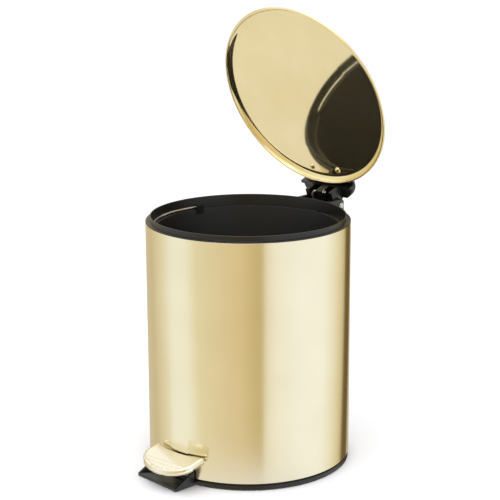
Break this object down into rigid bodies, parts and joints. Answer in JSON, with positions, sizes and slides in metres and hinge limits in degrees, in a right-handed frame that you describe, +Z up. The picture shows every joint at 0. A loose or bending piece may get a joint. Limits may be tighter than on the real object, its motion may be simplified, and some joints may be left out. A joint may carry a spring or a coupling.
{
  "type": "pedal trash can",
  "caption": "Round step-pedal bin of about 5 litres in satin brass finish, with a hinged lid, a lift-out bucket and black moulded trim, stored open.",
  "frame": {"origin": "on the floor, on the axis of the can", "axes": "+Z up, pedal towards -Y, lid hinge towards +Y, +X to the right when facing +Y"},
  "size_m": [0.205, 0.2667, 0.454],
  "materials": {
    "satin_brass": "satin, fine vertical grain",
    "polished_brass": "polished",
    "black_plastic": "satin moulded",
    "bucket_plastic": "fine matt moulded",
    "steel": "bright zinc plated",
    "rubber": "matt"
  },
  "bodies": {
    "body": {"body_shell": "satin_brass", "top_collar": "black_plastic", "base": "black_plastic", "grip_ring": "rubber", "pedal_pivot_pin": "steel", "pivot_clips": "steel", "hinge_housing": "black_plastic", "housing_screws": "steel", "hinge_pin": "steel", "hinge_clips": "steel"},
    "lid": {"lid": "polished_brass", "lid_bracket": "black_plastic", "lid_rivets": "polished_brass"},
    "rod": {"lift_rod": "steel", "rod_clips": "steel"},
    "pedal": {"pedal_lever": "steel", "pedal_cover": "satin_brass", "pedal_core": "black_plastic", "pedal_screws": "steel"},
    "bucket": {"bucket": "bucket_plastic"},
    "bail": {"bucket_handle": "steel"}
  },
  "joints": [
    {"name": "lid_hinge", "type": "hinge", "parent": "body", "child": "lid", "pos_m": [0, 0.1209, 0.2446], "axis": [-1, 0, 0], "range_deg": [-68.2, 0]},
    {"name": "rod_slide", "type": "slide", "parent": "body", "child": "rod", "axis": [0, 0, 1], "range_m": [-0.0145, 0]},
    {"name": "pedal_hinge", "type": "hinge", "parent": "body", "child": "pedal", "pos_m": [0, -0.0166, 0.0185], "axis": [-1, 0, 0], "range_deg": [0, 7.42]},
    {"name": "bucket_lift", "type": "slide", "parent": "body", "child": "bucket", "axis": [0, 0, 1], "range_m": [0, 0.006]},
    {"name": "bail_swing", "type": "hinge", "parent": "bucket", "child": "bail", "pos_m": [0, 0, 0.2431], "axis": [-0.9703, 0.2419, 0], "range_deg": [0, 3.6]}
  ],
  "couplings": [
    {"joint": "rod_slide", "follows": "lid_hinge", "m_per_rad": 0.012182},
    {"joint": "pedal_hinge", "follows": "lid_hinge", "ratio": -0.10874}
  ]
}
